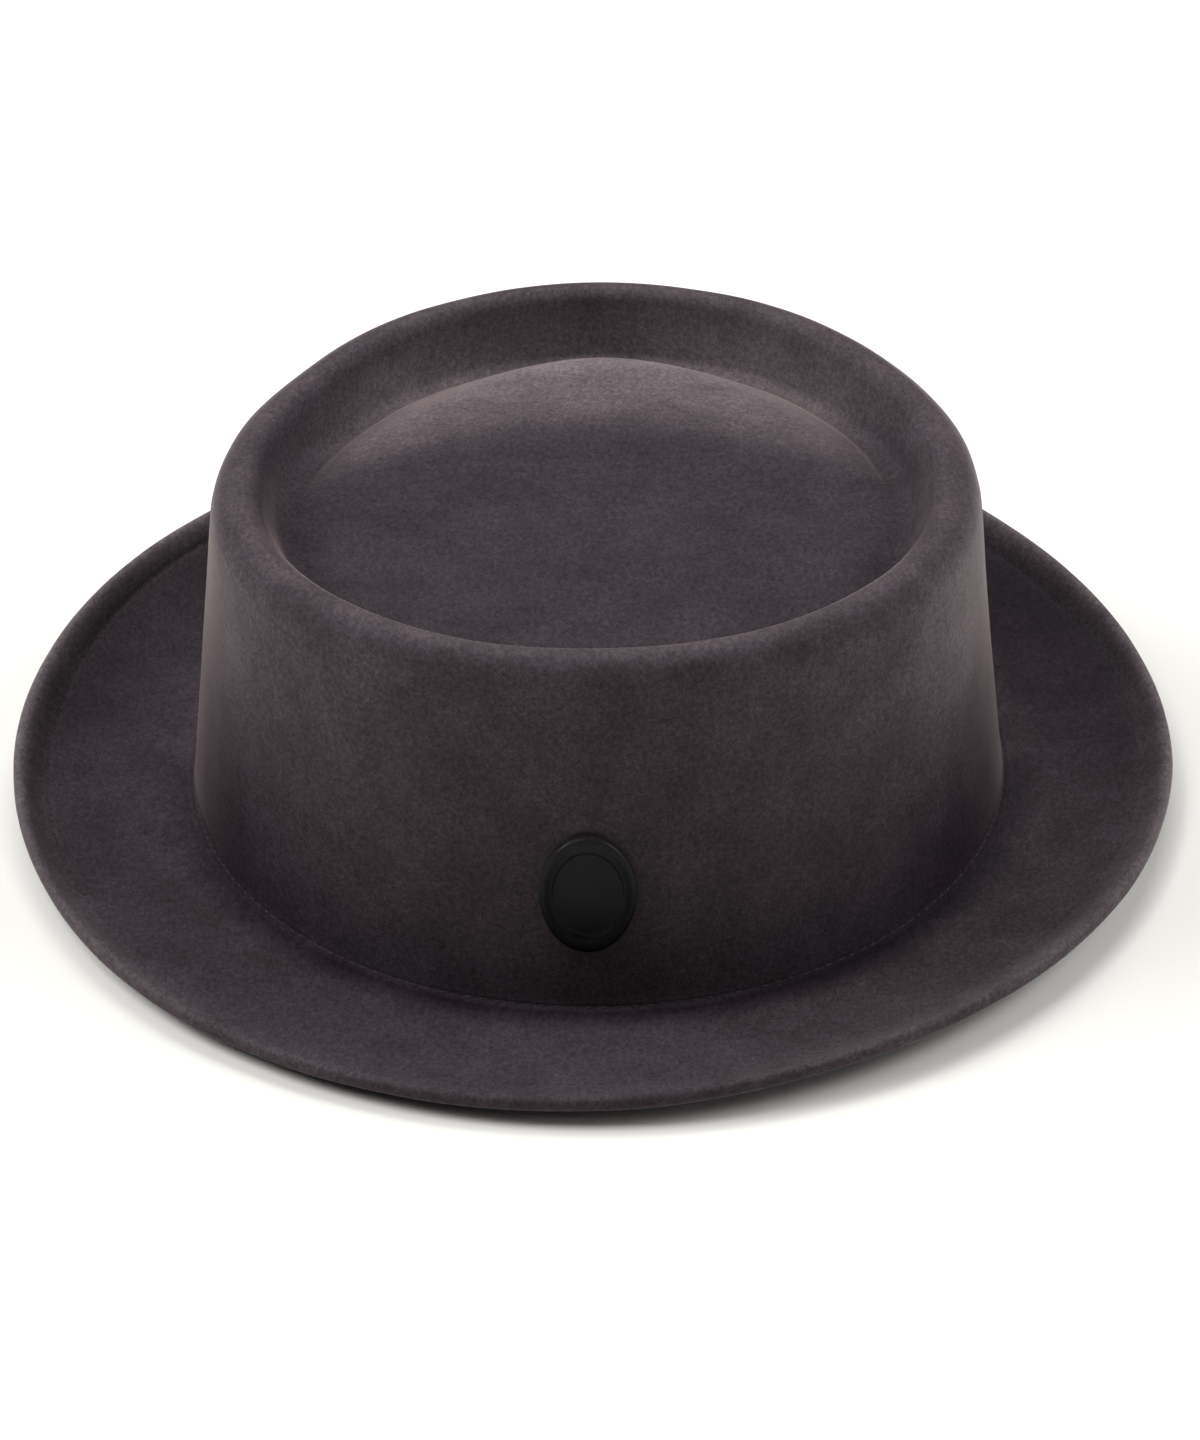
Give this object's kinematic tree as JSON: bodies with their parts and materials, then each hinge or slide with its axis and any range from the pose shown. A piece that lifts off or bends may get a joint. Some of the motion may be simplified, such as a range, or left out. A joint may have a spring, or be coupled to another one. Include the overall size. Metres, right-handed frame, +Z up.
{
  "type": "pork pie hat",
  "caption": "Felt pork pie hat with a low crown, a raised round rim, a sunken flat tip, a narrow brim curled up at the back, a leather sweatband and a small plain oval badge.",
  "frame": {"origin": "on the table under the middle of the brim", "axes": "+Z up, the front of the hat faces -Y, +X to the right as seen from the front"},
  "size_m": [0.2546, 0.2844, 0.0767],
  "materials": {
    "felt": "matt brushed wool felt",
    "band_leather": "satin grained leather",
    "black_enamel": "gloss black enamel",
    "clutch_steel": "satin"
  },
  "bodies": {
    "root": {"felt_body": "felt", "sweatband": "band_leather", "pin_badge": "black_enamel", "pin_clutch": "clutch_steel"}
  },
  "joints": []
}
